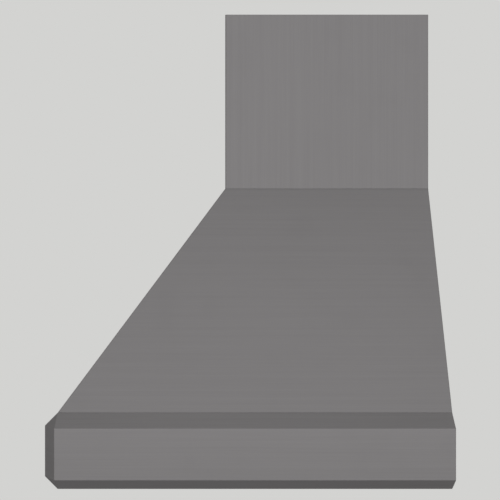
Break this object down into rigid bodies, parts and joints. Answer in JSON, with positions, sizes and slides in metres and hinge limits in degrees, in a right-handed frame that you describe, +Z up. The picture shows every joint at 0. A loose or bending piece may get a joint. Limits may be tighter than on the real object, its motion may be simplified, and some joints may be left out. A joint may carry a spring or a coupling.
{
  "type": "range hood",
  "caption": "Wall-mounted range hood: bevelled band, sloped canopy and duct cover, with tilting baffle filters, blower, damper, lamps and knobs inside.",
  "frame": {"origin": "on the wall plane, at the middle of the width, level with the bottom rim", "axes": "+Z up, +Y into the wall, +X to the right of someone who faces the wall"},
  "size_m": [0.762, 0.61, 0.758],
  "materials": {
    "shell_steel": "satin brushed",
    "liner_steel": "satin brushed",
    "filter_steel": "bright rolled",
    "bright_steel": "polished",
    "galvanised_steel": "galvanised",
    "spring_steel": "plain",
    "zinc_fasteners": "zinc plated",
    "motor_paint": "black enamel",
    "gasket_rubber": "closed-cell foam",
    "can_aluminium": "drawn",
    "black_plastic": "moulded",
    "knob_metal": "satin turned",
    "lens_glass": "frosted",
    "led_board": "white board"
  },
  "bodies": {
    "hood": {"skirt_band": "shell_steel", "canopy_front_panel": "shell_steel", "canopy_right_panel": "shell_steel", "canopy_left_panel": "shell_steel", "duct_cover": "shell_steel", "control_panel": "liner_steel", "liner_right": "liner_steel", "liner_left": "liner_steel", "filter_divider": "liner_steel", "rear_channel": "liner_steel", "lamp_trims": "bright_steel", "damper_rod": "bright_steel", "back_panel": "galvanised_steel", "mount_straps": "galvanised_steel", "top_plate": "galvanised_steel", "cover_clips": "galvanised_steel", "cover_bracket": "galvanised_steel", "scroll_wrapper": "galvanised_steel", "scroll_front_plate": "galvanised_steel", "scroll_rear_plate": "galvanised_steel", "inlet_rings": "galvanised_steel", "outlet_flange": "galvanised_steel", "duct_collar": "galvanised_steel", "collar_flange": "galvanised_steel", "damper_stops": "galvanised_steel", "supply_box": "galvanised_steel", "supply_cover": "galvanised_steel", "capacitor_strap": "galvanised_steel", "filter_catches": "spring_steel", "tray_clips": "spring_steel", "collar_bolts": "zinc_fasteners", "supply_screws": "zinc_fasteners", "spider_screws": "zinc_fasteners", "switch_nuts": "zinc_fasteners", "motor_case": "motor_paint", "motor_spider": "motor_paint", "outlet_gasket": "gasket_rubber", "capacitor": "can_aluminium", "lamp_housings": "can_aluminium", "rotary_switches": "black_plastic", "lamp_driver": "black_plastic", "lamp_lenses": "lens_glass", "lamp_modules": "led_board"},
    "impeller": {"wheel_blades": "galvanised_steel", "wheel_rings": "galvanised_steel", "wheel_disc": "galvanised_steel", "motor_shaft": "bright_steel"},
    "damper_right": {"damper_flap_right": "galvanised_steel"},
    "damper_left": {"damper_flap_left": "galvanised_steel"},
    "fan_knob": {"fan_knob": "knob_metal", "fan_shaft": "bright_steel"},
    "light_knob": {"light_knob": "knob_metal", "light_shaft": "bright_steel"},
    "filter_right": {"filter_frame_right": "filter_steel", "filter_baffles_right": "filter_steel"},
    "filter_left": {"filter_frame_left": "filter_steel", "filter_baffles_left": "filter_steel"},
    "handle_right": {"filter_handle_right": "bright_steel"},
    "handle_left": {"filter_handle_left": "bright_steel"},
    "grease_tray": {"grease_tray": "liner_steel"}
  },
  "joints": [
    {"name": "impeller_spin", "type": "hinge", "parent": "hood", "child": "impeller", "pos_m": [0.094, -0.1725, 0.2996], "axis": [0, 1, 0], "continuous": true},
    {"name": "damper_right_swing", "type": "hinge", "parent": "hood", "child": "damper_right", "pos_m": [0, -0.1725, 0.4948], "axis": [0, -1, 0], "range_deg": [0, 75]},
    {"name": "damper_left_swing", "type": "hinge", "parent": "hood", "child": "damper_left", "pos_m": [0, -0.1725, 0.4948], "axis": [0, 1, 0], "range_deg": [0, 75]},
    {"name": "fan_knob_turn", "type": "hinge", "parent": "hood", "child": "fan_knob", "pos_m": [0.065, -0.494, 0.05569], "axis": [0, 0.3681, -0.9298], "range_deg": [0, 270]},
    {"name": "light_knob_turn", "type": "hinge", "parent": "hood", "child": "light_knob", "pos_m": [-0.065, -0.494, 0.05569], "axis": [0, 0.3681, -0.9298], "range_deg": [0, 270]},
    {"name": "filter_right_tilt", "type": "hinge", "parent": "hood", "child": "filter_right", "pos_m": [0.174, -0.084, 0.046], "axis": [1, 0, 0], "range_deg": [0, 55]},
    {"name": "handle_right_fold", "type": "hinge", "parent": "filter_right", "child": "handle_right", "pos_m": [0.174, -0.40829, 0.07728], "axis": [1, 0, 0], "range_deg": [-60, 80]},
    {"name": "filter_left_tilt", "type": "hinge", "parent": "hood", "child": "filter_left", "pos_m": [-0.174, -0.084, 0.046], "axis": [1, 0, 0], "range_deg": [0, 55]},
    {"name": "handle_left_fold", "type": "hinge", "parent": "filter_left", "child": "handle_left", "pos_m": [-0.174, -0.40829, 0.07728], "axis": [1, 0, 0], "range_deg": [-60, 80]},
    {"name": "grease_tray_drop", "type": "slide", "parent": "hood", "child": "grease_tray", "axis": [0, 0, -1], "range_m": [0, 0.06]}
  ]
}
